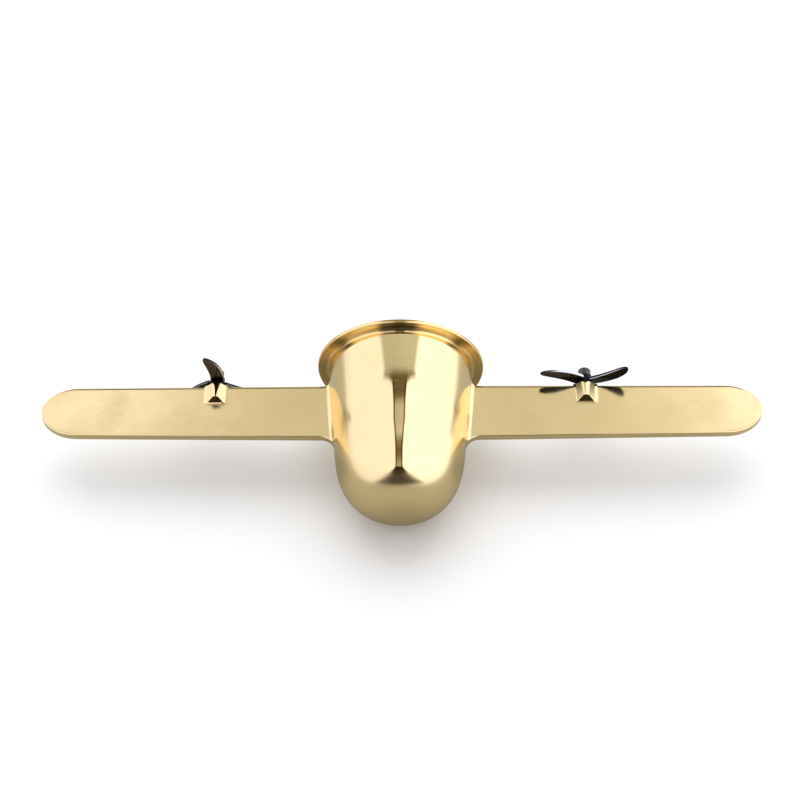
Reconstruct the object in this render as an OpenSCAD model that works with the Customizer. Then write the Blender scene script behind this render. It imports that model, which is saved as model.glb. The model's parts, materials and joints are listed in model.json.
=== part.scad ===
// Desk aeroplane in polished brass. The fuselage is an open cup with a flat rim round its mouth, and
// the mouth is the nose. Two flat wings are brazed to its sides, and each wing carries a small engine
// pod whose propeller spins freely on a sleeve, held by a socket-head screw.
//
// Aircraft axes: +X to the right wing, +Y out of the nose, +Z up, with zero in the middle of the
// rim's front face. place() then tips the nose up until the rim and the belly of the tail both stand
// on z = 0, and centres the object over the origin.

/* [Fuselage] */
// Radius of the flat rim round the nose
rim_r = 37.1; // [36:0.1:39]
// Thickness of the rim
rim_t = 2; // [1.6:0.1:2.4]
// Radius of the body just behind the rim
nose_r = 31.9; // [31:0.1:33]
// Radius of the concave fillet between the rim and the body
nose_fillet = 1.6; // [1:0.1:2]
// Radius of the body where the tail starts to round off
tail_r = 29.1; // [28.6:0.1:30]
// Distance from the rim's front face to where the tail starts to round off
taper_len = 39.3; // [38.5:0.1:42]
// Length of the rounded tail
tail_len = 36.9; // [34:0.1:40]
// Squareness of the tail's outline, where 2 is an ellipse
tail_power = 2.6; // [2.2:0.1:2.8]
// Radius of the cup's bore
bore_r = 27; // [26:0.1:27.2]
// Thickness of the wall at the tip of the tail
tip_wall = 2.2; // [1.8:0.1:3]

/* [Wings] */
// Wingspan from tip to tip
span = 320; // [300:1:340]
// Width of a wing at its root, from leading edge to trailing edge
chord = 27.1; // [25:0.1:27.5]
// How far the leading edge draws back between root and tip
lead_sweep = 0.5; // [0:0.1:1.5]
// How far the trailing edge draws forward between root and tip
trail_sweep = 1.3; // [0:0.1:3]
// Thickness of a wing
wing_t = 3.6; // [3.2:0.1:4]
// Radius along the upper and lower edges of a wing
wing_edge_r = 0.5; // [0.3:0.05:0.8]
// Length of the elliptical wing tip
tip_len = 17; // [12:0.5:22]
// Distance from the rim's front face back to the leading edge
wing_lead = 10; // [9.5:0.1:11]
// Depth of the wings' mid-plane below the fuselage's axis
wing_drop = 2; // [1:0.1:4]
// Radius of the fillet where the leading edge meets the body
lead_fillet = 3.6; // [2:0.1:5]
// Radius of the fillet where the trailing edge meets the body
trail_fillet = 5.6; // [3:0.1:7]

/* [Engine pods] */
// Distance of each pod from the middle of the fuselage
pod_x = 82.5; // [70:0.5:95]
// Width of a pod at the wing's surface
pod_w = 8.3; // [8:0.1:10]
// Length of a pod
pod_len = 9.3; // [9:0.1:10]
// How far a pod's front face stands ahead of the leading edge
pod_ahead = 0.2; // [0.1:0.1:0.6]
// Height of a pod above and below the wing's surfaces
pod_rise = 2.2; // [1.8:0.1:2.6]
// Width of a pod's top facet at the front
facet_front_w = 4.2; // [3:0.1:5.4]
// Width of a pod's top facet at the rear
facet_rear_w = 2.7; // [2:0.1:3.6]
// Slope of a pod's rear facet
rear_slope = 37; // [30:1:45]

/* [Propellers] */
// Radius of a propeller at the tips of its blades
prop_r = 21.6; // [19:0.1:24]
// Number of blades
blades = 3; // [2:1:4]
// Widest part of a blade
blade_w = 6.4; // [5:0.1:7]
// Thickness of a blade at its root
blade_t = 1.5; // [1.2:0.1:1.6]
// How far a blade's tip is swept sideways
blade_sweep = 4.9; // [0:0.1:6]
// How far a blade's tip leans back towards the wing
blade_lean = 1.4; // [0:0.1:1.5]
// Pitch of a blade at its root
root_pitch = 8; // [0:1:15]
// Pitch of a blade at its tip
tip_pitch = -4; // [-6:1:6]
// Radius of a propeller's hub
hub_r = 3.3; // [3:0.1:3.6]
// Length of a propeller's hub
hub_len = 4.1; // [3.6:0.1:4.6]
// How far the blades stand ahead of the leading edge
blade_ahead = 2.6; // [2.5:0.1:3.2]
// Angle of the right propeller's first blade above horizontal
right_phase = 22; // [0:1:119]
// Angle of the left propeller's first blade above horizontal
left_phase = 85; // [0:1:119]

/* [Fasteners] */
// Radius of the screw's shank
shank_r = 1.5; // [1.3:0.05:1.5]
// Length of the screw's shank
shank_len = 12; // [11:0.5:12]
// Radius of the screw's head
head_r = 2.75; // [2.6:0.05:2.9]
// Height of the screw's head
head_h = 3; // [2.6:0.1:3.2]
// Width of the screw's hexagon socket across its flats
socket_af = 2.5; // [2:0.1:2.6]
// Radius of a washer
washer_r = 3; // [2.9:0.05:3.2]
// Thickness of a washer
washer_t = 0.6; // [0.5:0.05:0.7]
// Outer radius of the sleeve that a propeller turns on
sleeve_r = 2.2; // [2:0.05:2.3]
// Radial clearance between a propeller's hub and its sleeve
run_gap = 0.05; // [0.02:0.01:0.1]
// End play of a propeller between its washers, at each end
end_play = 0.1; // [0.05:0.05:0.2]

/* [Hidden] */

brass = [0.80, 0.69, 0.45];
dark_nickel = [0.15, 0.14, 0.14];
RIGHT = 1;
LEFT = -1;

// Smoothness of turned parts, and steps along a quarter of a rounded outline
round_fn = 96;
small_fn = 48;
steps = 18;
fillet_steps = 6;
root_steps = 10;
// Overlap that lets a cut pass through a surface
eps = 0.01;

// The ring sits on a spigot turned on the cup's mouth
spigot_r = 30;
// Clearances of the screw in the plain holes it passes
sleeve_gap = 0.05;
washer_gap = 0.1;
thread_gap = 0.02;

// Stations ahead of the leading edge, along a propeller's axis
rear_washer_y = pod_ahead;
sleeve_y = rear_washer_y + washer_t;
hub_y = sleeve_y + end_play;
sleeve_len = hub_len + 2 * end_play;
front_washer_y = sleeve_y + sleeve_len;
head_y = front_washer_y + washer_t;
screw_hole_depth = shank_len - (head_y - pod_ahead) + 0.6;

// ---- How the aeroplane stands ----

// Reach of the rounded tail along a direction that is tipped by angle a from the tail's own axis
dual_power = tail_power / (tail_power - 1);
function tail_reach(along, across) =
    pow(pow(tail_len * along, dual_power) + pow(tail_r * across, dual_power), 1 / dual_power);

// Depth of the belly and of the rim's rear edge below the axis's nose end at pitch p
function belly_depth(p) = taper_len * sin(p) + tail_reach(sin(p), cos(p));
function rim_depth(p) = rim_t * sin(p) + rim_r * cos(p);

// Pitch at which both touch the table, by halving the interval lo to hi
function rest_pitch(lo, hi, turns = 40) =
    let (mid = (lo + hi) / 2)
    turns == 0 ? mid :
    belly_depth(mid) < rim_depth(mid) ? rest_pitch(mid, hi, turns - 1) : rest_pitch(lo, mid, turns - 1);

pitch = rest_pitch(2, 30);
front_reach = rim_r * sin(pitch);
rear_reach = taper_len * cos(pitch) + tail_reach(cos(pitch), sin(pitch));

module place() {
    translate([0, (rear_reach - front_reach) / 2, rim_depth(pitch)])
        rotate([pitch, 0, 0])
            children();
}

// Moves a part to the point where a propeller's axis crosses the leading edge's line
module at_engine(side) {
    translate([side * pod_x, -wing_lead - engine_setback, -wing_drop])
        children();
}

// ---- Outlines ----

// Half a superellipse's quarter, from its widest point to its end on the axis
function tail_outline(r, len, power) =
    [for (i = [0:steps]) let (a = 90 * i / steps)
        [r * pow(cos(a), 2 / power), -len * pow(sin(a), 2 / power)]];

function shifted(points, dy) = [for (p = points) [p[0], p[1] + dy]];

function arc(cx, cy, r, from, to, n) =
    [for (i = [0:n]) [cx + r * cos(from + (to - from) * i / n), cy + r * sin(from + (to - from) * i / n)]];

// Straight edges of the right wing
wing_half = span / 2;
tip_x = wing_half - tip_len;
root_x = nose_r;
function along_wing(x) = (x - root_x) / (tip_x - root_x);
function lead_edge(x) = -wing_lead - lead_sweep * along_wing(x);
function trail_edge(x) = -wing_lead - chord + trail_sweep * along_wing(x);
engine_setback = lead_sweep * along_wing(pod_x);
tip_mid = (lead_edge(tip_x) + trail_edge(tip_x)) / 2;
tip_half = (lead_edge(tip_x) - trail_edge(tip_x)) / 2;

// Radius of the fuselage at distance s behind the rim's front face
function body_r(s) =
    s < taper_len ? nose_r + (tail_r - nose_r) * (s - taper_start) / (taper_len - taper_start) :
    tail_r * pow(1 - pow((s - taper_len) / tail_len, tail_power), 1 / tail_power);
taper_start = rim_t + nose_fillet;
// Distance of the fuselage's side from the middle plane, at y along the axis and z above it
function body_x(y, z) = sqrt(pow(body_r(-y), 2) - z * z);
lead_side = body_r(wing_lead);
trail_side = body_r(wing_lead + chord);
// Centres of the fillets that join the wing's edges to the fuselage
lead_centre = [lead_side + lead_fillet, lead_edge(lead_side) + lead_fillet];
trail_centre = [trail_side + trail_fillet, trail_edge(trail_side) - trail_fillet];

// Angle between a fillet's centre line and the point where it meets the body, when shrunk by d
function meeting_angle(fillet, d) = acos(fillet / (fillet + d));
function on_body(y, z) = [body_x(y, z), y];

// Outline of the right wing at height z above the axis, shrunk all round by d, anticlockwise from above
function wing_outline(d, z) =
    let (trail_arc = arc(trail_centre[0], trail_centre[1], trail_fillet + d,
                         180 - meeting_angle(trail_fillet, d), 90, fillet_steps))
    let (lead_arc = arc(lead_centre[0], lead_centre[1], lead_fillet + d,
                        270, 180 + meeting_angle(lead_fillet, d), fillet_steps))
    let (root_from = lead_arc[fillet_steps][1])
    let (root_to = trail_arc[0][1])
    concat(
        [for (i = [1:fillet_steps]) trail_arc[i]],
        [for (i = [0:2 * steps]) let (a = -90 + 90 * i / steps)
            [tip_x + (tip_len - d) * cos(a), tip_mid + (tip_half - d) * sin(a)]],
        [for (i = [0:fillet_steps - 1]) lead_arc[i]],
        [for (i = [0:root_steps]) on_body(root_from + (root_to - root_from) * i / root_steps, z)]);

// Faces of a closed skin over rings of n points, stacked upwards and anticlockwise from above.
// The two points that follow the rings are the middles of the lowest and the highest ring.
function skin_faces(n, rings) = concat(
    [for (i = [0:n - 1]) [n * rings, i, (i + 1) % n]],
    [for (k = [0:rings - 2]) for (i = [0:n - 1]) [k * n + i, (k + 1) * n + i, (k + 1) * n + (i + 1) % n]],
    [for (k = [0:rings - 2]) for (i = [0:n - 1]) [k * n + i, (k + 1) * n + (i + 1) % n, k * n + (i + 1) % n]],
    [for (i = [0:n - 1]) [n * rings + 1, (rings - 1) * n + (i + 1) % n, (rings - 1) * n + i]]);

module skin(rings, low_middle, high_middle) {
    points = concat([for (ring = rings) for (p = ring) p], [low_middle, high_middle]);
    polyhedron(points = points, faces = skin_faces(len(rings[0]), len(rings)));
}

// ---- Fuselage ----

// Turns an outline of [radius, y] about the fuselage's axis
module turned() {
    rotate([-90, 0, 0])
        rotate_extrude($fn = round_fn)
            children();
}

module fuselage_outside() {
    outline = concat(
        [[0, 0], [spigot_r, 0], [spigot_r, -rim_t]],
        arc(nose_r + nose_fillet, -rim_t - nose_fillet, nose_fillet, 90, 180, 6),
        shifted(tail_outline(tail_r, tail_len, tail_power), -taper_len));
    turned()
        polygon(outline);
}

module cup_inside() {
    outline = concat(
        [[0, 1], [bore_r, 1]],
        shifted(tail_outline(bore_r, tail_len - tip_wall, tail_power), -taper_len));
    turned()
        polygon(outline);
}

module fuselage_shell() {
    color(brass)
        place()
            difference() {
                fuselage_outside();
                cup_inside();
            }
}

module rim_ring() {
    color(brass)
        place()
            turned()
                polygon([[spigot_r, 0], [rim_r, 0], [rim_r, -rim_t], [spigot_r, -rim_t]]);
}

// ---- Wings ----

// Right wing with rounded edges and a root that fits the fuselage's side
module wing_blank() {
    half_t = wing_t / 2;
    levels = [for (side = [-1, 1]) for (turn = side < 0 ? [90, 45, 0] : [0, 45, 90])
        [wing_edge_r * (1 - cos(turn)), -wing_drop + side * (half_t - wing_edge_r * (1 - sin(turn)))]];
    rings = [for (level = levels) [for (p = wing_outline(level[0], level[1])) [p[0], p[1], level[1]]]];
    // All of the outline is in sight of this point between the two fillets
    middle = [lead_side + chord / 5, -wing_lead - chord / 2];
    skin(rings, [middle[0], middle[1], -wing_drop - half_t], [middle[0], middle[1], -wing_drop + half_t]);
}

// Plan of a pod at the wing's surfaces, drawn out beyond its front by extra
module pod_plan(extra) {
    translate([-pod_w / 2, pod_ahead - pod_len])
        square([pod_w, pod_len + extra]);
}

// The pod is let into a notch in the leading edge
module pod_notch(side) {
    at_engine(side)
        translate([0, 0, -wing_t])
            linear_extrude(2 * wing_t)
                pod_plan(5);
}

module wing(side) {
    color(brass)
        place()
            difference() {
                mirror([side == LEFT ? 1 : 0, 0, 0])
                    wing_blank();
                pod_notch(side);
            }
}

module left_wing() {
    wing(LEFT);
}

module right_wing() {
    wing(RIGHT);
}

// ---- Engine pods ----

// Solid block with a narrow facet on top and bottom, sloping sides and a long sloping tail
module pod_block() {
    slope_len = pod_rise / tan(rear_slope);
    top = wing_t / 2 + pod_rise;
    front = pod_ahead;
    rear = pod_ahead - pod_len;
    facet = [[-facet_front_w / 2, front], [facet_front_w / 2, front],
             [facet_rear_w / 2, rear + slope_len], [-facet_rear_w / 2, rear + slope_len]];
    hull() {
        translate([0, 0, -wing_t / 2])
            linear_extrude(wing_t)
                pod_plan(0);
        translate([0, 0, -top])
            linear_extrude(2 * top)
                polygon(facet);
    }
}

module engine_pod(side) {
    color(brass)
        place()
            at_engine(side)
                difference() {
                    pod_block();
                    translate([0, pod_ahead + eps, 0])
                        rotate([90, 0, 0])
                            cylinder(r = shank_r + thread_gap, h = screw_hole_depth, $fn = small_fn);
                }
}

module left_engine_pod() {
    engine_pod(LEFT);
}

module right_engine_pod() {
    engine_pod(RIGHT);
}

// ---- Propellers ----

blade_root = hub_r - 0.5;
blade_stations = 12;
section_points = 10;

// Width, sideways sweep, lean and pitch of a blade at fraction t of its length
function blade_width(t) =
    blade_w * (0.90 + 0.14 * t) * sqrt(1 - pow(t, 5));
function blade_offset(t) = -blade_sweep * pow(t, 2.2);
function blade_back(t) = -blade_lean * pow(t, 1.3);
function blade_pitch(t) = root_pitch + (tip_pitch - root_pitch) * t;

// Takes a sine or cosine towards its full value, which flattens an ellipse's sides
function squared_off(value) = sign(value) * sqrt(abs(value));

// Flat section with rounded edges of a blade that stands upright, anticlockwise from above
function blade_section(t) =
    let (half_w = max(blade_width(t), 0.7) / 2)
    let (half_t = blade_t * (1 - 0.3 * t) / 2)
    let (p = blade_pitch(t))
    [for (i = [0:section_points - 1]) let (a = 360 * i / section_points)
        let (u = half_w * squared_off(cos(a)))
        let (v = half_t * squared_off(sin(a)))
        [blade_offset(t) + u * cos(p) - v * sin(p),
         blade_back(t) + u * sin(p) + v * cos(p),
         blade_root + (prop_r - blade_root) * t]];

module blade() {
    skin([for (i = [0:blade_stations]) blade_section(i / blade_stations)],
         [0, 0, blade_root], [blade_offset(1), blade_back(1), prop_r]);
}

module propeller(side, phase) {
    color(dark_nickel)
        place()
            at_engine(side)
                difference() {
                    union() {
                        translate([0, hub_y + hub_len, 0])
                            rotate([90, 0, 0])
                                cylinder(r = hub_r, h = hub_len, $fn = small_fn);
                        for (i = [0:blades - 1])
                            translate([0, blade_ahead, 0])
                                rotate([0, 90 - phase - 360 * i / blades, 0])
                                    blade();
                    }
                    translate([0, hub_y + hub_len + 1, 0])
                        rotate([90, 0, 0])
                            cylinder(r = sleeve_r + run_gap, h = hub_len + 2, $fn = small_fn);
                }
}

module left_propeller() {
    propeller(LEFT, left_phase);
}

module right_propeller() {
    propeller(RIGHT, right_phase);
}

// ---- Sleeves, washers and screws ----

// Ring on a propeller's axis whose rear face stands at y ahead of the leading edge
module axis_ring(y, len, outer, inner) {
    translate([0, y + len, 0])
        rotate([90, 0, 0])
            difference() {
                cylinder(r = outer, h = len, $fn = small_fn);
                translate([0, 0, -1])
                    cylinder(r = inner, h = len + 2, $fn = small_fn);
            }
}

module sleeve(side) {
    color(brass)
        place()
            at_engine(side)
                axis_ring(sleeve_y, sleeve_len, sleeve_r, shank_r + sleeve_gap);
}

module left_propeller_sleeve() {
    sleeve(LEFT);
}

module right_propeller_sleeve() {
    sleeve(RIGHT);
}

module washer(side, y) {
    color(dark_nickel)
        place()
            at_engine(side)
                axis_ring(y, washer_t, washer_r, shank_r + washer_gap);
}

module left_rear_washer() {
    washer(LEFT, rear_washer_y);
}

module right_rear_washer() {
    washer(RIGHT, rear_washer_y);
}

module left_front_washer() {
    washer(LEFT, front_washer_y);
}

module right_front_washer() {
    washer(RIGHT, front_washer_y);
}

module screw(side) {
    head_chamfer = 0.3;
    face_r = head_r - head_chamfer;
    socket_depth = 1.4;
    color(dark_nickel)
        place()
            at_engine(side)
                translate([0, head_y, 0])
                    rotate([-90, 0, 0])
                        difference() {
                            union() {
                                translate([0, 0, -shank_len])
                                    cylinder(r = shank_r, h = shank_len + 1, $fn = small_fn);
                                cylinder(r = head_r, h = head_h - head_chamfer, $fn = small_fn);
                                translate([0, 0, head_h - head_chamfer])
                                    cylinder(r1 = head_r, r2 = face_r, h = head_chamfer, $fn = small_fn);
                            }
                            translate([0, 0, head_h - socket_depth])
                                cylinder(r = socket_af / sqrt(3), h = socket_depth + 1, $fn = 6);
                        }
}

module left_propeller_screw() {
    screw(LEFT);
}

module right_propeller_screw() {
    screw(RIGHT);
}

fuselage_shell();
rim_ring();
left_wing();
right_wing();
left_engine_pod();
right_engine_pod();
left_propeller();
right_propeller();
left_propeller_sleeve();
right_propeller_sleeve();
left_rear_washer();
right_rear_washer();
left_front_washer();
right_front_washer();
left_propeller_screw();
right_propeller_screw();
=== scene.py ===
import json
import math

import bpy
from mathutils import Matrix, Vector


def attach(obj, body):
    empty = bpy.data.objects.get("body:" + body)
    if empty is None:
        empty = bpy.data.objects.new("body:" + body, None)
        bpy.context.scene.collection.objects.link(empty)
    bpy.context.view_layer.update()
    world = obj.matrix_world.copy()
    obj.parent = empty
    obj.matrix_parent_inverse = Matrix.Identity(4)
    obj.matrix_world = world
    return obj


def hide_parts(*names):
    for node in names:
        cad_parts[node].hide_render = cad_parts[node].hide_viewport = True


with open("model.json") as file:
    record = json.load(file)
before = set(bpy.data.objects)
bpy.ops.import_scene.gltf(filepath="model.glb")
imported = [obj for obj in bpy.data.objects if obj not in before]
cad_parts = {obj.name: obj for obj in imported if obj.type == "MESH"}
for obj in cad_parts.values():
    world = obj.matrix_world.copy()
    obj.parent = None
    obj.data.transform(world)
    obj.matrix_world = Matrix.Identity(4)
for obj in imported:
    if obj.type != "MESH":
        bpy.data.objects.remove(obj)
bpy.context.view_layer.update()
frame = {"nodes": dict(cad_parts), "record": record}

MM = 0.001
RIGHT = 1
LEFT = -1
SIDE_NAMES = {RIGHT: "right", LEFT: "left"}

# ---- Driving dimensions, in millimetres ----

# The fuselage's wall where it passes through the rim
SPIGOT_R = 30
NOSE_R = 31.9
NOSE_FILLET = 1.6
TAIL_R = 29.1
TAPER_LEN = 39.3
TAIL_LEN = 36.9
BORE_POWER = 2.6
TIP_WALL = 2.2
# The outside keeps its taper into the tail, so that no crease shows where the rounding starts
ROUND_FROM = 45.5
ROUND_POWER = 2.75
# The fuller tail ends a little short, which keeps it inside the CAD model's box
TAIL_TRIM = 0.15

# Painted shade and painted reflection behind the rim, as (angle from the top in degrees, share)
PAINTED_SHADE_ROUND = ((0, 1), (10, 1), (20, 0.42), (38, 0.42), (50, 0.95), (62, 0.65), (180, 0.65))

CHORD = 27.1
LEAD_SWEEP = 0.5
TRAIL_SWEEP = 1.3
WING_T = 3.6
WING_EDGE_R = 0.5
LEAD_ROUND = 1.7
TIP_LEN = 17
WING_LEAD = 10
WING_DROP = 2
LEAD_FILLET = 3.6
TRAIL_FILLET = 5.6
ROOT_FILLET = 1.9
# The wing's stations start this far inside the nose's radius, because the body tapers
ROOT_INSET = 1.6
# How far out the stations still follow the body's curve, and how deep the first one is buried
FOLLOW_LEN = 14
ROOT_BURIED = 0.4

POD_W = 8.3
POD_LEN = 9.3
POD_AHEAD = 0.2
POD_RISE = 2.2
FACET_FRONT_W = 4.2
FACET_REAR_W = 2.7
REAR_SLOPE = math.radians(39)
SKIRT = 1.2
FACET_CROWN = 0.3
FACET_CORNER_R = 0.15
POD_CORNER_R = 0.3
POD_BROKEN_EDGE = 0.16

PROP_R = 21.6
BLADES = 3
BLADE_W = 6.4
BLADE_T = 1.4
BLADE_CORNER = 0.22
BLADE_SWEEP = 4.9
BLADE_LEAN = 1.4
ROOT_PITCH = math.radians(8)
TIP_PITCH = math.radians(-4)
BLADE_AHEAD = 2.6
# A blade starts this far inside the hub, thins by this share to its tip, and is never narrower than this
BLADE_BURIED = 0.5
BLADE_THINNING = 0.3
BLADE_TIP_W = 0.7
HUB_R = 3.3
HUB_LEN = 4.1
HUB_ROUND = 0.25
PHASES = {RIGHT: math.radians(22), LEFT: math.radians(85)}
# The corner of each blade that gets a painted highlight, and the one blade whose whole edge gets one,
# standing in for reflections of the light
GLINT_CORNERS = {(RIGHT, 0): 2, (RIGHT, 1): 3, (LEFT, 0): 3}
GLINT_EDGED_BLADE = (RIGHT, 1)

SHANK_R = 1.5
SHANK_LEN = 12
HEAD_R = 2.75
HEAD_H = 3
SOCKET_AF = 2.5
SOCKET_DEPTH = 1.4
KNURL_RIDGES = 28
KNURL_DEPTH = 0.32
WASHER_R = 3
WASHER_T = 0.6
WASHER_BORE_R = 1.6
WASHER_ROUND = 0.12
SLEEVE_R = 2.2
SLEEVE_BORE_R = 1.55
SLEEVE_ROUND = 0.1
RUN_GAP = 0.05
END_PLAY = 0.1

# ---- Where the aeroplane stands, from the frame ----


def record_mount(name):
    """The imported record's mount of that name."""
    return next(m for m in frame["record"]["mounts"] if m["name"] == name)


def aircraft_frame():
    """Aircraft axes in the row frame, from the cup's bore, whose middle is half its length behind the rim."""
    bore = record_mount("cup_bore")
    nose = Vector(bore["axis"]).normalized()
    across = Vector((1, 0, 0))
    up = across.cross(nose)
    origin = Vector(bore["pos_m"]) + nose * (bore["dims"]["length_mm"] * MM / 2)
    place = Matrix((across, nose, up)).transposed().to_4x4()
    place.translation = origin
    return place


PLACE = aircraft_frame()
TO_AIRCRAFT = PLACE.inverted()
PITCH = math.asin(PLACE[2][1])


def node_extent(name, axis):
    """Lowest and highest coordinate of a CAD node along an aircraft axis, in millimetres."""
    values = [(TO_AIRCRAFT @ v.co)[axis] / MM for v in frame["nodes"][name].data.vertices]
    return min(values), max(values)


RIM_R = node_extent("rim_ring", 0)[1]
RIM_T = -node_extent("rim_ring", 1)[0]
BORE_R = record_mount("cup_bore")["dims"]["r_mm"]
WING_HALF = node_extent("right_wing", 0)[1]
POD_X = sum(node_extent("right_engine_pod", 0)) / 2
TIP_X = WING_HALF - TIP_LEN
TAPER_START = RIM_T + NOSE_FILLET
TAIL_END = TAPER_LEN + TAIL_LEN - TAIL_TRIM

# Stations ahead of the leading edge along a propeller's axis
SLEEVE_Y = POD_AHEAD + WASHER_T
HUB_Y = SLEEVE_Y + END_PLAY
SLEEVE_LEN = HUB_LEN + 2 * END_PLAY
FRONT_WASHER_Y = SLEEVE_Y + SLEEVE_LEN
HEAD_Y = FRONT_WASHER_Y + WASHER_T


def smooth_step(value, start, end):
    """0 before start, 1 after end, and a smooth rise between them."""
    t = min(1, max(0, (value - start) / (end - start)))
    return t * t * (3 - 2 * t)


def along_wing(x):
    """Share of the way from the root to where the tip starts to round off."""
    return (x - NOSE_R) / (TIP_X - NOSE_R)


def lead_edge(x):
    """Where the straight leading edge runs, ahead of the rim's front face."""
    return -WING_LEAD - LEAD_SWEEP * along_wing(x)


def trail_edge(x):
    """Where the straight trailing edge runs, ahead of the rim's front face."""
    return -WING_LEAD - CHORD + TRAIL_SWEEP * along_wing(x)


def engine_point(side):
    """Where a propeller's axis crosses the leading edge's line."""
    return Vector((side * POD_X, lead_edge(POD_X), -WING_DROP))


# ---- Mesh helpers ----


def arc_points(cx, cy, r, start, end, steps):
    """Points on an arc, with its angles in degrees."""
    angles = [math.radians(start + (end - start) * i / steps) for i in range(steps + 1)]
    return [(cx + r * math.cos(a), cy + r * math.sin(a)) for a in angles]


def make_mesh(name, points, faces):
    """An object in the row frame, from points in aircraft axes and in millimetres."""
    mesh = bpy.data.meshes.new(name)
    mesh.from_pydata([PLACE @ (Vector(p) * MM) for p in points], [], faces)
    mesh.validate()
    mesh.polygons.foreach_set("use_smooth", [True] * len(mesh.polygons))
    mesh.update()
    obj = bpy.data.objects.new(name, mesh)
    bpy.context.scene.collection.objects.link(obj)
    return obj


def loop_faces(count, rings, closed=False):
    """Quads between stacked rings of count points each. A closed stack joins its last ring to its first."""
    faces = []
    for k in range(rings if closed else rings - 1):
        here = k * count
        above = (k + 1) % rings * count
        for i in range(count):
            after = (i + 1) % count
            faces.append((here + i, here + after, above + after, above + i))
    return faces


def loft(name, rings):
    """A solid through rings of points, its ends closed by fans about their middles."""
    count = len(rings[0])
    points = [p for ring in rings for p in ring]
    faces = loop_faces(count, len(rings))
    for k, turn in ((0, 1), (len(rings) - 1, -1)):
        middle = sum((Vector(p) for p in rings[k]), Vector()) / count
        points.append(middle)
        hub = len(points) - 1
        fan = [(k * count + (i + 1) % count, k * count + i, hub) for i in range(count)]
        faces += [f if turn > 0 else tuple(reversed(f)) for f in fan]
    return make_mesh(name, points, faces)


def ring_at(r, y, count, origin=(0, 0, 0), radius=None):
    """A ring about the y direction. radius(angle) may change its radius round the ring."""
    angles = [2 * math.pi * i / count for i in range(count)]
    sizes = [radius(a) if radius else r for a in angles]
    x0, y0, z0 = origin
    return [(x0 + s * math.cos(a), y0 + y, z0 + s * math.sin(a)) for a, s in zip(angles, sizes)]


def turned_ring(name, outline, count=192, origin=(0, 0, 0)):
    """A turned piece with a hole through it, from a closed outline of (radius, y)."""
    rings = [ring_at(r, y, count, origin) for r, y in outline]
    points = [p for ring in rings for p in ring]
    return make_mesh(name, points, loop_faces(count, len(rings), closed=True))


def paint(obj, name, values):
    """Gives each point of a piece a value that its material reads."""
    obj.data.attributes.new(name, "FLOAT", "POINT").data.foreach_set("value", values)
    return obj


def face_weighted(obj):
    """Keeps flat faces flat in shading beside their small rounded edges."""
    obj.modifiers.new("flat_faces", "WEIGHTED_NORMAL").keep_sharp = True
    return obj


def outward(obj):
    """Turns a closed piece's faces outwards, whichever way they were listed."""
    mesh = obj.data
    centre = sum((v.co for v in mesh.vertices), Vector()) / len(mesh.vertices)
    volume = 0
    for polygon in mesh.polygons:
        corners = [mesh.vertices[i].co - centre for i in polygon.vertices]
        for second, third in zip(corners[1:], corners[2:]):
            volume += corners[0].dot(second.cross(third))
    if volume < 0:
        mesh.flip_normals()
    return obj


# ---- Fuselage and rim ----


def outside_r(s):
    """Radius of the fuselage's outside at distance s behind the rim's front face."""
    cone = NOSE_R - (NOSE_R - TAIL_R) * (s - TAPER_START) / (TAPER_LEN - TAPER_START)
    t = min(1, max(0, (s - ROUND_FROM) / (TAIL_END - ROUND_FROM)))
    return cone * (1 - t**ROUND_POWER) ** (1 / ROUND_POWER)


def between_stops(value, stops):
    """Straight-line reading of a table of (place, value)."""
    for (start, low), (end, high) in zip(stops, stops[1:]):
        if value <= end:
            return low + (high - low) * (value - start) / (end - start)
    return stops[-1][1]


def painted_shade_round(count):
    """How much painted shade and reflection each of count points round the rim gets, thickest at the top."""
    from_top = [abs((360 * i / count + 90) % 360 - 180) for i in range(count)]
    return [between_stops(degrees, PAINTED_SHADE_ROUND) for degrees in from_top]


def spread_round(shares, count):
    """Painted shade of every point of a turned piece, from the share that each of its rings may have."""
    return [share * round_share for share in shares for round_share in painted_shade_round(count)]


def fuselage_outline():
    """(radius, y, painted shade) from the middle of the cup's floor, out over its lip and back to the tail's
    tip.
    """
    lip = 0.5
    steps = 72
    walk_steps = 24
    fillet_steps = 12
    shade_fade_steps = 8
    bore_stations = (30, 20, 10, 4, 1)
    inside_len = TAIL_LEN - TIP_WALL
    angles = [math.pi / 2 * (1 - i / steps) for i in range(steps + 1)]
    inside = [
        (BORE_R * math.cos(a) ** (2 / BORE_POWER), -TAPER_LEN - inside_len * math.sin(a) ** (2 / BORE_POWER))
        for a in angles[1:]
    ]
    inside += [(BORE_R, -y) for y in bore_stations]
    mouth = arc_points(BORE_R + lip, -lip, lip, 180, 90, 6) + [(SPIGOT_R, 0), (SPIGOT_R, -RIM_T)]
    fillet = arc_points(NOSE_R + NOSE_FILLET, -RIM_T - NOSE_FILLET, NOSE_FILLET, 90, 180, fillet_steps)
    walk_len = ROUND_FROM - TAPER_START
    walk = [TAPER_START + walk_len * i / walk_steps for i in range(1, walk_steps + 1)]
    outside = [(outside_r(s), -s) for s in walk]
    reach = TAIL_END - ROUND_FROM
    for i in range(1, 2 * steps):
        s = ROUND_FROM + reach * math.sin(math.pi / 2 * i / (2 * steps)) ** (2 / ROUND_POWER)
        outside.append((outside_r(s), -s))
    # The fillet in the corner behind the rim gets painted shade, which fades out over its last steps
    corner = [(r, y, 1 - smooth_step(i, shade_fade_steps, fillet_steps)) for i, (r, y) in enumerate(fillet)]
    return [(r, y, 0) for r, y in inside + mouth] + corner + [(r, y, 0) for r, y in outside]


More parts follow.
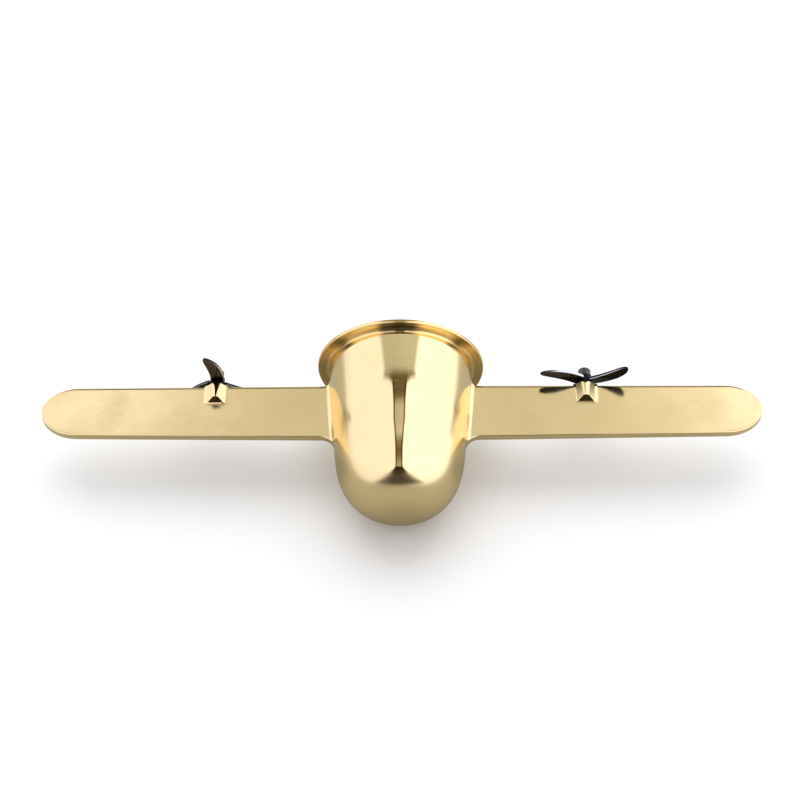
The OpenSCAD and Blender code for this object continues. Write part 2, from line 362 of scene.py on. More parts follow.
def make_fuselage():
    """The turned cup, with painted shade in the corner behind the rim."""
    count = 256
    outline = fuselage_outline()
    rings = [ring_at(r, y, count) for r, y, _ in outline]
    points = [p for ring in rings for p in ring]
    faces = loop_faces(count, len(rings))
    points += [(0, -TAIL_END + TIP_WALL, 0), (0, -TAIL_END, 0)]
    last = (len(rings) - 1) * count
    faces += [((i + 1) % count, i, len(points) - 2) for i in range(count)]
    faces += [(last + i, last + (i + 1) % count, len(points) - 1) for i in range(count)]
    painted_shade = spread_round([share for _, _, share in outline], count) + [0, 0]
    return paint(outward(make_mesh("fuselage_cup", points, faces)), "painted_shade", painted_shade)


def make_rim():
    """Flat ring with a wide round on its front edge, painted shade and reflection on its back and some on its
    edge.
    """
    count = 320
    rear, front = 0.4, 0.9
    rear_steps, front_steps = 8, 12
    edge_share, face_share = 0.7, 0.3
    outline = [(SPIGOT_R, -RIM_T)]
    outline += arc_points(RIM_R - rear, -RIM_T + rear, rear, 270, 360, rear_steps)
    outline += arc_points(RIM_R - front, -front, front, 0, 90, front_steps)
    outline.append((SPIGOT_R, 0))
    edge_from = rear_steps - 1
    shares = []
    for i in range(len(outline) - 2):
        on_back = 1 - smooth_step(i, 1, 4)
        on_edge = smooth_step(i, edge_from, edge_from + 2)
        shares.append(on_back + edge_share * on_edge)
    shares += [face_share, 0]
    rim = outward(turned_ring("nose_rim", outline, count))
    return face_weighted(paint(rim, "painted_shade", spread_round(shares, count)))


# ---- Wings ----


def wing_gain(d, radius):
    """How far a fillet of that radius stands off at distance d from the fuselage."""
    return radius - math.sqrt(max(0, radius**2 - (radius - d) ** 2)) if d < radius else 0


def wing_section(d, side):
    """Points round the wing at distance d from the fuselage, with a well rounded leading edge."""
    x_line = NOSE_R - ROOT_INSET + d
    lead = lead_edge(x_line) + wing_gain(d, LEAD_FILLET)
    trail = trail_edge(x_line) - wing_gain(d, TRAIL_FILLET)
    past = max(0, x_line - TIP_X) / TIP_LEN
    middle = (lead + trail) / 2
    half = (lead - trail) / 2 * math.sqrt(max(0, 1 - past**2))
    half_t = WING_T / 2
    edge = min(WING_EDGE_R, half)
    round_r = min(LEAD_ROUND + (WING_EDGE_R - LEAD_ROUND) * past, half)
    flat = 28
    corner = 10
    ahead, behind = middle + half - round_r, middle - half + edge
    top = [(ahead + (behind - ahead) * i / flat, half_t) for i in range(flat + 1)]
    rear = arc_points(behind, half_t - edge, edge, 90, 180, corner)[1:]
    rear_low = arc_points(behind, edge - half_t, edge, 180, 270, corner)
    low = [(behind + (ahead - behind) * i / flat, -half_t) for i in range(1, flat + 1)]
    front = arc_points(ahead, round_r - half_t, round_r, 270, 360, corner)[1:]
    front_top = arc_points(ahead, half_t - round_r, round_r, 0, 90, corner)[:-1]
    section = top + rear + rear_low + low + front + front_top
    rise = wing_gain(d, ROOT_FILLET)
    points = []
    for y, z in section:
        height = z + math.copysign(rise, z) - WING_DROP
        on_body = math.sqrt(outside_r(-y) ** 2 - height**2)
        follow = 1 - smooth_step(d, LEAD_FILLET, FOLLOW_LEN)
        x = (on_body + d) * follow + x_line * (1 - follow)
        points.append((side * x, y, height))
    return points


def make_wing(side):
    """Flat wing whose root flows into the fuselage on every side."""
    root_steps, flat_steps, tip_steps = 22, 40, 48
    # Root stations crowd towards the body, and the last one stops just short of the tip's point
    crowding = 1.8
    tip_gap = 0.003
    tip_from = WING_HALF - NOSE_R + ROOT_INSET - TIP_LEN
    flat_len = tip_from - TRAIL_FILLET
    root = [TRAIL_FILLET * (i / root_steps) ** crowding for i in range(root_steps + 1)]
    flat = [TRAIL_FILLET + flat_len * i / flat_steps for i in range(1, flat_steps + 1)]
    turns = [math.pi / 2 * i / tip_steps for i in range(1, tip_steps + 1)]
    tip = [tip_from + (TIP_LEN - tip_gap) * math.sin(turn) for turn in turns]
    rings = [buried(wing_section(0, side), side)] + [wing_section(d, side) for d in root + flat + tip]
    return face_weighted(outward(loft(SIDE_NAMES[side] + "_wing_blade", rings)))


def buried(section, side):
    """The root's section moved into the fuselage, so that no gap shows."""
    return [(x - side * ROOT_BURIED, y, z) for x, y, z in section]


# ---- Engine pods ----


def rounded_plan(front_half, rear_half, front, rear, r, out, steps=6):
    """Plan of a pod, clockwise from its front left: rear corners rounded by r, sides moved out by out."""
    sweep = [math.pi / 2 * i / steps for i in range(steps + 1)]
    rear_x = rear_half - r
    side_steps = 8
    rear_left = [(-rear_x - (r + out) * math.cos(a), rear + r - (r + out) * math.sin(a)) for a in sweep]
    rear_right = [(rear_x + (r + out) * math.sin(a), rear + r - (r + out) * math.cos(a)) for a in sweep]
    left_start, right_end = (-front_half - out, front), (front_half + out, front)

    def between(a, b):
        shares = [i / side_steps for i in range(1, side_steps)]
        return [(a[0] + (b[0] - a[0]) * t, a[1] + (b[1] - a[1]) * t) for t in shares]

    return (
        [left_start] + between(left_start, rear_left[0]) + rear_left + between(rear_left[-1], rear_right[0])
        + rear_right + between(rear_right[-1], right_end) + [right_end] + between(right_end, left_start)
    )


def pod_upper_rings():
    """Rings of a pod's upper half, from its top facet down to where its skirt dies into the wing."""
    top_z = WING_T / 2 + POD_RISE
    base_z = WING_T / 2
    front, rear = POD_AHEAD, POD_AHEAD - POD_LEN
    slope_len = (POD_RISE - FACET_CROWN) / math.tan(REAR_SLOPE)
    facet = rounded_plan(FACET_FRONT_W / 2, FACET_REAR_W / 2, front, rear + slope_len, FACET_CORNER_R, 0)
    base = rounded_plan(POD_W / 2, POD_W / 2, front, rear, POD_CORNER_R, 0)
    outer = rounded_plan(POD_W / 2, POD_W / 2, front, rear, POD_CORNER_R, SKIRT)
    crown_steps, skirt_steps = 6, 8
    # The crown's rings close to a thin line, and the skirt starts this share of the way up the flanks
    narrowing = 0.97
    share = 0.12
    rings = []
    for k in range(crown_steps, -1, -1):
        inward = 1 - narrowing * k / crown_steps
        rings.append([(x * inward, y, top_z - FACET_CROWN * inward**2) for x, y in facet])
    turn_in = [(b[0] + (f[0] - b[0]) * share, b[1] + (f[1] - b[1]) * share) for f, b in zip(facet, base)]
    for i in range(skirt_steps + 1):
        t = i / skirt_steps
        weights = ((1 - t) ** 2, 2 * t * (1 - t), t * t)
        height = base_z + weights[0] * (POD_RISE - FACET_CROWN) * share
        rings.append([
            tuple(sum(w * p[k] for w, p in zip(weights, trio)) for k in (0, 1)) + (height,)
            for trio in zip(turn_in, base, outer)
        ])
    return rings


def make_pod(side):
    """Faceted block above and below the wing, with a small skirt where it meets the wing."""
    upper = pod_upper_rings()
    lower = [[(x, y, -z) for x, y, z in ring] for ring in reversed(upper)]
    at = engine_point(side)
    rings = [[tuple(at + Vector(p)) for p in ring] for ring in upper + lower]
    obj = outward(loft(SIDE_NAMES[side] + "_engine_block", rings))
    edges = obj.modifiers.new("broken_edges", "BEVEL")
    edges.width = POD_BROKEN_EDGE * MM
    edges.segments = 3
    edges.limit_method = "ANGLE"
    edges.angle_limit = math.radians(28)
    return face_weighted(obj)


# ---- Propellers ----


def blade_width(t):
    """Width at share t of a blade's length: almost even from the hub, then a rounded tip."""
    return BLADE_W * (0.90 + 0.14 * t) * math.sqrt(max(0, 1 - t**5))


# Points of a blade's section on each rounded corner, and their places along the side that follows it
CORNER_STEPS = 5
ALONG_SIDE = (0.04, 0.35, 0.65, 0.96)


def plate_section(half_w, half_t, r):
    """Points round a flat plate's section with rounded corners."""
    signs = ((1, 1), (-1, 1), (-1, -1), (1, -1))
    points = []
    for quarter, (cx, cy) in enumerate(signs):
        first, last = 90 * quarter, 90 * quarter + 90
        arc = arc_points(cx * (half_w - r), cy * (half_t - r), r, first, last, CORNER_STEPS)
        next_x, next_y = signs[(quarter + 1) % 4]
        start = arc[-1]
        angle = math.radians(last)
        across = next_x * (half_w - r) + r * math.cos(angle)
        deep = next_y * (half_t - r) + r * math.sin(angle)
        points += arc
        for t in ALONG_SIDE:
            points.append((start[0] + (across - start[0]) * t, start[1] + (deep - start[1]) * t))
    return points


def blade_section(t):
    """Section of a blade at share t of its length, swept, leaned and pitched about its own line."""
    root = HUB_R - BLADE_BURIED
    half_w = max(blade_width(t), BLADE_TIP_W) / 2
    half_t = BLADE_T * (1 - BLADE_THINNING * t) / 2
    widest_round = 0.6
    r = min(BLADE_CORNER, half_t * widest_round, half_w * widest_round)
    pitch = ROOT_PITCH + (TIP_PITCH - ROOT_PITCH) * t
    ring = []
    for u, v in plate_section(half_w, half_t, r):
        x = -BLADE_SWEEP * t**2.2 + u * math.cos(pitch) - v * math.sin(pitch)
        y = -BLADE_LEAN * t**1.3 + u * math.sin(pitch) + v * math.cos(pitch)
        ring.append(Vector((x, y, root + (PROP_R - root) * t)))
    return ring


def painted_glint_points(shares, bright_corner, whole_edge):
    """How bright each point of a blade's painted highlight is: faint behind, full on one corner, fading to
    the tip.
    """
    bright, faint, bright_side = 0.9, 0.25, 0.75
    fade_from = 0.55
    values = []
    for t in shares:
        fade = 1 - smooth_step(t, fade_from, 1)
        for quarter in range(4):
            corner = bright if quarter == bright_corner else faint
            side = bright_side if whole_edge and quarter == bright_corner else 0
            values += [corner * fade] * (CORNER_STEPS + 1) + [side * fade] * len(ALONG_SIDE)
    return values + [0, 0]


def make_blade(side, index):
    """One scimitar blade, turned to its place about the propeller's axis."""
    stations = 44
    turn = Matrix.Rotation(math.pi / 2 - PHASES[side] - 2 * math.pi * index / BLADES, 4, "Y")
    at = engine_point(side) + Vector((0, BLADE_AHEAD, 0))
    shares = [math.sin(math.pi / 2 * i / stations) for i in range(stations + 1)]
    rings = [[tuple(at + turn @ p) for p in blade_section(t)] for t in shares]
    obj = outward(loft("{}_blade_{}".format(SIDE_NAMES[side], index + 1), rings))
    blade = (side, index)
    # The blade's edges get a painted highlight, read by its material, in place of a reflection of the light
    painted_glint = painted_glint_points(shares, GLINT_CORNERS.get(blade), blade == GLINT_EDGED_BLADE)
    return face_weighted(paint(obj, "painted_glint", painted_glint))


def bevelled_outline(inner, outer, y, length, r):
    """(radius, y) round a ring with its outer edges rounded by r and its inner ones broken."""
    small = r / 2
    outline = arc_points(outer - r, y + r, r, 270, 360, 5)
    outline += arc_points(outer - r, y + length - r, r, 0, 90, 5)
    outline += arc_points(inner + small, y + length - small, small, 90, 180, 3)
    return outline + arc_points(inner + small, y + small, small, 180, 270, 3)


def make_ring(name, side, inner, outer, y, length, r):
    """A turned ring on a propeller's axis, whose rear face stands at y ahead of the leading edge."""
    outline = bevelled_outline(inner, outer, y, length, r)
    return face_weighted(outward(turned_ring(name, outline, 96, tuple(engine_point(side)))))


# ---- Screws ----


def knurl_r(angle):
    """Radius of the screw's head round its knurled side."""
    return HEAD_R - KNURL_DEPTH * abs(math.sin(angle * KNURL_RIDGES / 2))


def hexagon_r(angle):
    """Distance from the middle to the side of the hexagon socket."""
    sixth = math.pi / 3
    return SOCKET_AF / 2 / math.cos((angle + sixth / 2) % sixth - sixth / 2)


def make_screw(side):
    """Socket-head cap screw with a knurled side, a chamfered face and a hexagon socket."""
    count = 288
    at = tuple(engine_point(side) + Vector((0, HEAD_Y, 0)))
    neck = 0.15
    chamfer = 0.3
    face = HEAD_H

    def plain(r, y):
        """A round ring at y ahead of the head's rear face."""
        return ring_at(r, y, count, at)

    def knurled(y):
        """A ring of the knurled side."""
        return ring_at(HEAD_R, y, count, at, knurl_r)

    def hexagon(y):
        """A ring of the socket."""
        return ring_at(SOCKET_AF / 2, y, count, at, hexagon_r)

    rings = [plain(SHANK_R - 0.35, -SHANK_LEN), plain(SHANK_R, -SHANK_LEN + 0.35), plain(SHANK_R, -0.1)]
    rings += [plain(SHANK_R + 0.1, 0), plain(HEAD_R - 0.25, 0), plain(HEAD_R - 0.1, neck)]
    rings += [knurled(neck + 0.08), knurled(0.6), knurled(1.3), knurled(2.0), knurled(face - chamfer - 0.15)]
    rings += [plain(HEAD_R - 0.08, face - chamfer), plain(HEAD_R - chamfer, face - 0.04)]
    rings += [plain(HEAD_R - chamfer - 0.06, face), plain(1.75, face), hexagon(face - 0.12)]
    rings += [hexagon(face - 0.8), hexagon(face - SOCKET_DEPTH), plain(0.4, face - SOCKET_DEPTH - 0.25)]
    return outward(loft(SIDE_NAMES[side] + "_cap_screw", rings))


# ---- Materials ----


class Nodes:
    """Short ways to add and join shader nodes."""

    def __init__(self, tree):
        self.tree = tree
        tree.nodes.clear()

    def add(self, kind, inputs=None, **settings):
        """A node with these settings, its inputs joined to sockets or set to values."""
        node = self.tree.nodes.new(kind)
        for key, value in settings.items():
            setattr(node, key, value)
        for key, value in (inputs or {}).items():
            if isinstance(value, bpy.types.NodeSocket):
                self.tree.links.new(value, node.inputs[key])
            else:
                node.inputs[key].default_value = value
        return node

    def math(self, operation, first, second=0.0, clamp=False):
        """One sum on numbers or sockets."""
        inputs = {0: first, 1: second}
        return self.add("ShaderNodeMath", inputs, operation=operation, use_clamp=clamp).outputs[0]

    def parts(self, vector):
        """The x, y and z of a vector."""
        return self.add("ShaderNodeSeparateXYZ", {0: vector}).outputs

    def span(self, value, low, high, to_low=0.0, to_high=1.0):
        """A smooth rise from to_low at low to to_high at high."""
        inputs = {"Value": value, "From Min": low, "From Max": high, "To Min": to_low, "To Max": to_high}
        return self.add("ShaderNodeMapRange", inputs, interpolation_type="SMOOTHSTEP").outputs[0]

    def noise(self, vector, scale, detail=4.0, roughness=0.55):
        """Noise from 0 to 1, by place in metres."""
        inputs = {"Vector": vector, "Scale": scale, "Detail": detail, "Roughness": roughness}
        return self.add("ShaderNodeTexNoise", inputs).outputs["Fac"]

    def mix(self, factor, first, second):
        """A blend of two colours."""
        node = self.add("ShaderNodeMix", data_type="RGBA")
        for socket, value in ((node.inputs[0], factor), (node.inputs[6], first), (node.inputs[7], second)):
            if isinstance(value, bpy.types.NodeSocket):
                self.tree.links.new(value, socket)
            else:
                socket.default_value = value
        return node.outputs[2]

    def ramp(self, value, stops):
        """Straight-line reading of grey stops."""
        node = self.add("ShaderNodeValToRGB", {"Fac": value})
        elements = node.color_ramp.elements
        while len(elements) > 1:
            elements.remove(elements[-1])
        elements[0].position = stops[0][0]
        elements[0].color = grey(stops[0][1])
        for position, level in stops[1:]:
            elements.new(position).color = grey(level)
        return node.outputs["Color"]


def grey(level):
    """A grey of that level."""
    return (level, level, level, 1)


def polished_metal(name, slot_colours, rough, grain, wave, scratch, painted_glint=False, painted_shade=False, satin=False):
    """Polished metal with fine polishing lines, a soft waviness, duller patches and lighter edges.

    The edges are wear found by pointiness, unless painted_glint reads a painted highlight from a point
    attribute; painted_shade adds painted shade and painted reflection and rougher flanks, and satin roughens
    what faces sideways.
    """
    bright, dull, worn_and_glint_colour = slot_colours
    dull_share, edge_share = 0.6, 0.6
    # How finely the noises repeat, per metre
    line_scale, hair_scale, patch_scale, smudge_scale = 420, 260, 38, 120
    glint_break_scale, painted_shade_scale, swell_scale = 300, 90, 26
    # What scratches, thick painted shade, flanks and sloping sides add to the roughness
    hair_rough, painted_shade_rough, flank_rough, side_rough = 0.06, 0.10, 0.20, 0.34
    material = bpy.data.materials.new(name)
    material.use_nodes = True
    g = Nodes(material.node_tree)
    standing = g.add("ShaderNodeTexCoord").outputs["Object"]
    place = g.add("ShaderNodeMapping", {"Vector": standing, "Rotation": (-PITCH, 0, 0)}).outputs[0]
    lines = g.add("ShaderNodeMapping", {"Vector": place, "Scale": grain}).outputs[0]
    fine = g.noise(lines, line_scale, 5, 0.6)
    slanted = {"Vector": place, "Rotation": (0.4, 0.9, 0.7), "Scale": (1, 14, 14)}
    crossing = g.add("ShaderNodeMapping", slanted).outputs[0]
    hairs = g.span(g.noise(crossing, hair_scale, 2, 0.5), 0.66, 0.74)
    patches = g.span(g.noise(place, patch_scale, 5, 0.6), 0.35, 0.7)
    smudges = g.span(g.noise(place, smudge_scale, 3, 0.5), 0.45, 0.75)
    surface = g.add("ShaderNodeNewGeometry").outputs
    # With painted_glint, the lighter edges are a painted highlight read from the blades' attribute, not wear
    if painted_glint:
        painted = g.add("ShaderNodeAttribute", attribute_name="painted_glint").outputs["Fac"]
        uneven = g.span(g.noise(place, glint_break_scale, 3), 0.25, 0.5, 0.75, 1.6)
        edges = g.math("MULTIPLY", painted, uneven, clamp=True)
    else:
        edges = g.math("MULTIPLY", g.span(surface["Pointiness"], 0.54, 0.62), edge_share)
    colour = g.mix(g.math("MULTIPLY", patches, dull_share), bright, dull)
    colour = g.mix(edges, colour, worn_and_glint_colour)
    roughness = g.span(patches, 0, 1, rough, rough * 1.35)
    roughness = g.math("ADD", roughness, g.math("MULTIPLY", smudges, rough * 0.3))
    roughness = g.math("ADD", roughness, g.math("MULTIPLY", hairs, hair_rough))
    # Painted shade and painted reflection behind the rim, read from a point attribute: orange where thin,
    # dark where thick
    if painted_shade:
        shade_share = g.add("ShaderNodeAttribute", attribute_name="painted_shade").outputs["Fac"]
        shade_share = g.math("MULTIPLY", shade_share, g.span(g.noise(place, painted_shade_scale, 4), 0.3, 0.7, 0.85, 1.0))
        colour = g.mix(g.span(shade_share, 0.0, 0.3), colour, PAINTED_REFLECTION_ORANGE)
        colour = g.mix(g.span(shade_share, 0.42, 0.9), colour, PAINTED_SHADE_BROWN)
        roughness = g.math("ADD", roughness, g.math("MULTIPLY", shade_share, painted_shade_rough))
        # The buffing wheel reached the flanks less than the back
        upwards = g.parts(surface["Normal"])[2]
        roughness = g.math("ADD", roughness, g.span(upwards, 0.58, 0.77, flank_rough, 0.0))
    if satin:
        sideways = g.math("ABSOLUTE", g.parts(surface["Normal"])[0])
        roughness = g.math("ADD", roughness, g.span(sideways, 0.15, 0.4, 0.0, side_rough))
    swell = g.noise(place, swell_scale, 1, 0.4)
    height = g.math("ADD", g.math("MULTIPLY", swell, wave), g.math("MULTIPLY", fine, scratch))
    height = g.math("SUBTRACT", height, g.math("MULTIPLY", hairs, scratch))
    bump = g.add("ShaderNodeBump", {"Height": height, "Strength": 1.0, "Distance": 1.0}).outputs[0]
    inputs = {"Base Color": colour, "Metallic": 1.0, "Roughness": roughness, "Normal": bump}
    shader = g.add("ShaderNodeBsdfPrincipled", inputs).outputs[0]
    g.add("ShaderNodeOutputMaterial", {"Surface": shader})
    return material


# Bright, dull and worn colours of each metal; the dark nickel's third colour is a painted highlight on its
# blades' edges
BRASS = ((0.90, 0.715, 0.36, 1), (0.86, 0.665, 0.31, 1), (0.97, 0.82, 0.50, 1))
NICKEL = ((0.016, 0.015, 0.0142, 1), (0.008, 0.0075, 0.007, 1), (0.62, 0.63, 0.66, 1))
STEEL = ((0.13, 0.12, 0.105, 1), (0.06, 0.055, 0.05, 1), (0.55, 0.53, 0.47, 1))
# Painted reflection, orange where the painted shade starts, and painted shade, dark where it is thick
PAINTED_REFLECTION_ORANGE = (0.88, 0.625, 0.235, 1)
PAINTED_SHADE_BROWN = (0.18, 0.135, 0.05, 1)

# Grain runs round the turned pieces and along the wings
MATERIALS = {
    "polished_brass": polished_metal("polished_brass", BRASS, 0.02, (1, 12, 1), 0.25e-4, 0.5e-6, painted_shade=True),
    "polished_brass_rim": polished_metal(
        "polished_brass_rim", BRASS, 0.06, (1, 14, 1), 0.2e-4, 1.5e-6, painted_shade=True
    ),
    "polished_brass_wing": polished_metal("polished_brass_wing", BRASS, 0.125, (1, 10, 10), 1.2e-4, 1.8e-6),
    "polished_brass_pod": polished_metal(
        "polished_brass_pod", BRASS, 0.06, (6, 6, 6), 0.2e-4, 1.5e-6, satin=True
    ),
    "sleeve_brass": polished_metal("sleeve_brass", BRASS, 0.2, (1, 12, 1), 0.0, 2e-6),
    "dark_nickel": polished_metal("dark_nickel", NICKEL, 0.16, (4, 4, 4), 0.2e-4, 1.2e-6, painted_glint=True),
    "dark_washer": polished_metal("dark_washer", STEEL, 0.26, (1, 8, 1), 0.0, 2e-6),
    "black_steel": polished_metal("black_steel", STEEL, 0.16, (3, 3, 3), 0.0, 2e-6),
}


def finish_piece(obj, body, node, slot):
    """Gives a piece its material and ties it to its body, its CAD node and its slot."""
    obj.data.materials.append(MATERIALS[slot])
    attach(obj, body)
    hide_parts(node)


# ---- The aeroplane ----

finish_piece(make_fuselage(), "root", "fuselage_shell", "polished_brass")
finish_piece(make_rim(), "root", "rim_ring", "polished_brass_rim")

for side, name in SIDE_NAMES.items():
    finish_piece(make_wing(side), "root", name + "_wing", "polished_brass_wing")
    finish_piece(make_pod(side), "root", name + "_engine_pod", "polished_brass_pod")
    propeller = name + "_propeller"
    hub = make_ring(name + "_hub", side, SLEEVE_R + RUN_GAP, HUB_R, HUB_Y, HUB_LEN, HUB_ROUND)
    finish_piece(hub, propeller, propeller, "dark_nickel")
    for index in range(BLADES):
        finish_piece(make_blade(side, index), propeller, propeller, "dark_nickel")
    sleeve = make_ring(name + "_sleeve", side, SLEEVE_BORE_R, SLEEVE_R, SLEEVE_Y, SLEEVE_LEN, SLEEVE_ROUND)
    finish_piece(sleeve, "root", propeller + "_sleeve", "sleeve_brass")
    for place_name, y in (("rear", POD_AHEAD), ("front", FRONT_WASHER_Y)):
        disc_name = "{}_{}_disc".format(name, place_name)
        washer = make_ring(disc_name, side, WASHER_BORE_R, WASHER_R, y, WASHER_T, WASHER_ROUND)
        finish_piece(washer, "root", "{}_{}_washer".format(name, place_name), "dark_washer")
    finish_piece(make_screw(side), "root", propeller + "_screw", "black_steel")


# ---- Studio ----


FLOOR_SIZE = 12
FLOOR_SEEN = 0.90
FLOOR_MOTTLE = 0.01
FLOOR_MIRRORED = (0.43, 0.43, 0.42, 1)
# What the floor shows in reflections at its sides: a painted reflection brighter than any lit floor, standing
# in for the tent's walls
FLOOR_MIRRORED_GLOW = (1.35, 1.35, 1.60, 1)
# Radiance that the tent gives matt surfaces, which sets how deep the shadows are
AMBIENT = 0.80
KEY_POWER = 34
KEY_SIZE = 3.0
KEY_AHEAD = 1.25
KEY_HEIGHT = 1.7
PANEL_TINT = (0.88, 0.88, 1.08, 1)
# What shows through the slit where it is dark, which is the warm wood of a room
DIM_TINT = (1.0, 0.80, 0.45, 1)


def ramp_stops(first, last, stops):
    """A ramp's stops with their places as shares of the way from one turn to the other, in degrees."""
    return [((degrees - first) / (last - first), value) for degrees, value in stops]


# Half-width of the slit, and what shows through it, by turn from the horizon ahead in degrees.
# The near ramps are finer, for the sharp end of the wide opening ahead of the zenith.
SLIT_HALF = ramp_stops(0, 180, (
    (0, 0.34), (50, 0.32), (60, 0.30), (64, 0.13), (66, 0.13), (80, 0.135), (100, 0.11), (130, 0.11),
    (136, 0.12), (180, 0.66),
))
SLIT_LEVEL = ramp_stops(0, 180, (
    (0, 0.55), (30, 0.50), (42, 0.12), (60, 0.14), (64, 0.70), (66, 0.72), (80, 0.68), (84, 0.66), (93, 0.3),
    (104, 0.2), (112, 0.2), (125, 0.4), (133, 0.5), (136, 0.03), (178, 0.03), (180, 0.4),
))
NEAR_FROM = 66
NEAR_TO = 80
NEAR_HALF = ramp_stops(NEAR_FROM, NEAR_TO, (
    (66, 0.13), (69.9, 0.15), (71.8, 0.48), (73.9, 0.48), (75.38, 0.37), (75.5, 0.43), (75.62, 0.27),
    (75.78, 0.185), (76.3, 0.16), (80, 0.135),
))
NEAR_LEVEL = ramp_stops(NEAR_FROM, NEAR_TO, (
    (66, 0.72), (69.9, 0.74), (71.8, 0.70), (75.38, 0.62), (75.46, 0.15), (76.2, 0.15), (76.48, 0.62),
    (80, 0.66),
))

# Where the slit's edge turns from soft to sharp and its dark frame starts, as shares of the half turn
SHARP_FROM = 75.4 / 180
SHARP_TO = 75.55 / 180
FRAME_FROM = 75.45 / 180
FRAME_DARKNESS = 0.65


def make_floor():
    """Pale plain floor. Mirrors see it darker than the eye does, and brighter again at the sides, where a
    painted reflection stands in for the tent's walls."""
    bpy.ops.mesh.primitive_plane_add(size=FLOOR_SIZE, location=(0, 0, 0))
    floor = bpy.context.object
    floor.name = "studio_floor"
    material = bpy.data.materials.new("pale_floor")
    material.use_nodes = True
    g = Nodes(material.node_tree)
    mirrored = g.add("ShaderNodeLightPath").outputs["Is Glossy Ray"]
    place = g.add("ShaderNodeTexCoord").outputs["Object"]
    mottle = g.noise(place, 3, 3, 0.5)
    seen = g.mix(mottle, grey(FLOOR_SEEN - FLOOR_MOTTLE), grey(FLOOR_SEEN + FLOOR_MOTTLE))
    x = g.parts(place)[0]
    # The painted reflection starts just beyond the right wing, and farther out and more weakly on the left
    side_glow = g.math("MAXIMUM", g.span(x, 0.16, 0.6), g.span(x, -1.0, -0.45, 0.7, 0.0))
    answered = g.mix(side_glow, FLOOR_MIRRORED, FLOOR_MIRRORED_GLOW)
    colour = g.mix(mirrored, seen, answered)
    shader = g.add("ShaderNodeBsdfDiffuse", {"Color": colour}).outputs[0]
    g.add("ShaderNodeOutputMaterial", {"Surface": shader})
    floor.data.materials.append(material)


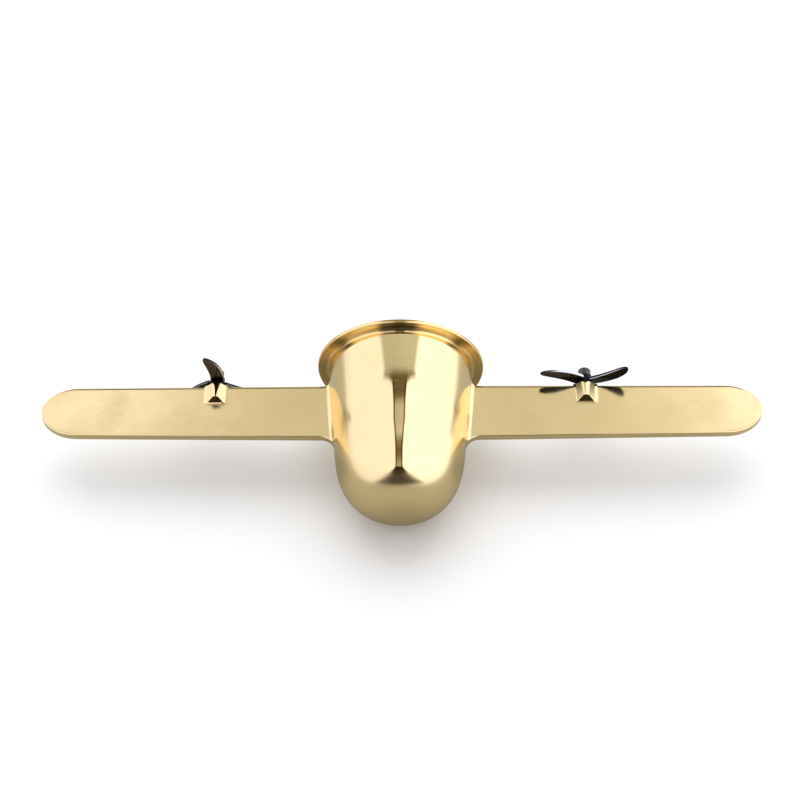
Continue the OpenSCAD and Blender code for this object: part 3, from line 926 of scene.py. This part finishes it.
def make_studio():
    """A light tent as the surroundings: bright walls left and right, the right one brighter, and between
    them a slit that runs overhead, widest behind the tail, and shows a dark and warm room in places."""
    world = bpy.data.worlds.new("light_tent")
    bpy.context.scene.world = world
    world.use_nodes = True
    g = Nodes(world.node_tree)
    direction = g.add("ShaderNodeTexCoord").outputs["Generated"]
    x, y, z = g.parts(direction)
    # Turn from the horizon ahead of the nose, over the zenith, to the horizon behind the tail, as 0 to 1.
    # Ahead, the slit's ends are arcs about the fuselage's axis, and behind they are straight.
    behind = g.math("DIVIDE", g.math("ARCTAN2", g.math("MAXIMUM", z, 0.0), y), math.pi)
    nose = {0: direction, 1: PLACE.col[1].to_3d()}
    along = g.add("ShaderNodeVectorMath", nose, operation="DOT_PRODUCT").outputs["Value"]
    along = g.math("SUBTRACT", along, g.math("MULTIPLY", g.math("MULTIPLY", x, x), 0.015))
    ahead = g.math("DIVIDE", g.math("ADD", g.math("ARCCOSINE", along), PITCH), math.pi)
    past_zenith = g.span(behind, 0.5, 0.7)
    turn = g.math("ADD", ahead, g.math("MULTIPLY", past_zenith, g.math("SUBTRACT", behind, ahead)))
    width = g.math("ABSOLUTE", x)
    near = g.math("DIVIDE", g.math("SUBTRACT", turn, NEAR_FROM / 180), (NEAR_TO - NEAR_FROM) / 180)
    is_near = g.math("LESS_THAN", g.math("ABSOLUTE", g.math("SUBTRACT", near, 0.5)), 0.5)
    slit_half = g.mix(is_near, g.ramp(turn, SLIT_HALF), g.ramp(near, NEAR_HALF))
    slit_level = g.mix(is_near, g.ramp(turn, SLIT_LEVEL), g.ramp(near, NEAR_LEVEL))
    wall_level = g.math("MULTIPLY", g.span(x, -0.15, 0.15, 1.42, 1.8), g.span(z, 0.0, 0.2, 0.88, 1.0))
    past_edge = g.math("SUBTRACT", width, slit_half)
    softness = g.span(turn, SHARP_FROM, SHARP_TO, 0.05, 0.015)
    in_wall = g.span(past_edge, g.math("MULTIPLY", softness, -1.0), softness)
    # Behind the wide opening the slit has a thin dark frame
    framed = g.math("MULTIPLY", g.span(past_edge, -0.05, -0.035), g.span(turn, FRAME_FROM, SHARP_TO))
    left_by_frame = g.math("SUBTRACT", 1.0, g.math("MULTIPLY", framed, FRAME_DARKNESS))
    slit_level = g.math("MULTIPLY", slit_level, left_by_frame)
    slit_level = g.math("MULTIPLY", slit_level, g.span(x, -0.12, 0.12, 0.98, 1.08))
    level = g.math("ADD", slit_level, g.math("MULTIPLY", in_wall, g.math("SUBTRACT", wall_level, slit_level)))
    rays = g.add("ShaderNodeLightPath").outputs
    slit_tint = g.mix(g.span(slit_level, 0.15, 0.5), DIM_TINT, grey(1))
    tint = g.mix(in_wall, slit_tint, PANEL_TINT)
    mirrored = g.add("ShaderNodeBackground", {"Color": tint, "Strength": level}).outputs[0]
    lit = g.add("ShaderNodeBackground", {"Color": grey(1), "Strength": AMBIENT}).outputs[0]
    plain = g.add("ShaderNodeBackground", {"Color": grey(1), "Strength": 1.0}).outputs[0]
    matt = g.add("ShaderNodeMixShader", {0: rays["Is Diffuse Ray"], 1: mirrored, 2: lit}).outputs[0]
    shown = g.add("ShaderNodeMixShader", {0: rays["Is Camera Ray"], 1: matt, 2: plain}).outputs[0]
    g.add("ShaderNodeOutputWorld", {"Surface": shown})


def make_key_light():
    """A wide soft light above and ahead of the nose, kept out of the reflections."""
    data = bpy.data.lights.new("key", "AREA")
    data.shape = "DISK"
    data.size = KEY_SIZE
    data.energy = KEY_POWER
    key = bpy.data.objects.new("key", data)
    key.location = (0, KEY_AHEAD, KEY_HEIGHT)
    key.rotation_euler = (-math.atan2(KEY_AHEAD, KEY_HEIGHT), 0, 0)
    key.visible_glossy = False
    bpy.context.scene.collection.objects.link(key)


# The camera's place behind the tail, and the point it aims at in aircraft axes, in millimetres
CAMERA_AZIMUTH = math.radians(1.9)
CAMERA_ELEVATION = math.radians(47.63)
CAMERA_ROLL = math.radians(1.68)
CAMERA_DISTANCE = 0.8
CAMERA_AIM = (-0.15, -18.2, 0)
CAMERA_LENS = 80.9
CAMERA_SENSOR = 36


def make_camera():
    """Looks down on the aeroplane from behind its tail."""
    aim = PLACE @ (Vector(CAMERA_AIM) * MM)
    level = math.cos(CAMERA_ELEVATION)
    back = Vector((
        math.sin(CAMERA_AZIMUTH) * level, -math.cos(CAMERA_AZIMUTH) * level, math.sin(CAMERA_ELEVATION)
    ))
    camera = bpy.data.objects.new("camera", bpy.data.cameras.new("camera"))
    bpy.context.scene.collection.objects.link(camera)
    camera.data.sensor_width = CAMERA_SENSOR
    camera.data.lens = CAMERA_LENS
    camera.data.clip_start = 0.01
    turn = (-back).to_track_quat("-Z", "Y").to_matrix().to_4x4() @ Matrix.Rotation(-CAMERA_ROLL, 4, "Z")
    camera.matrix_world = Matrix.Translation(aim + back * CAMERA_DISTANCE) @ turn
    bpy.context.scene.camera = camera


make_floor()
make_studio()
make_key_light()
make_camera()
bpy.context.scene.view_settings.view_transform = "Standard"
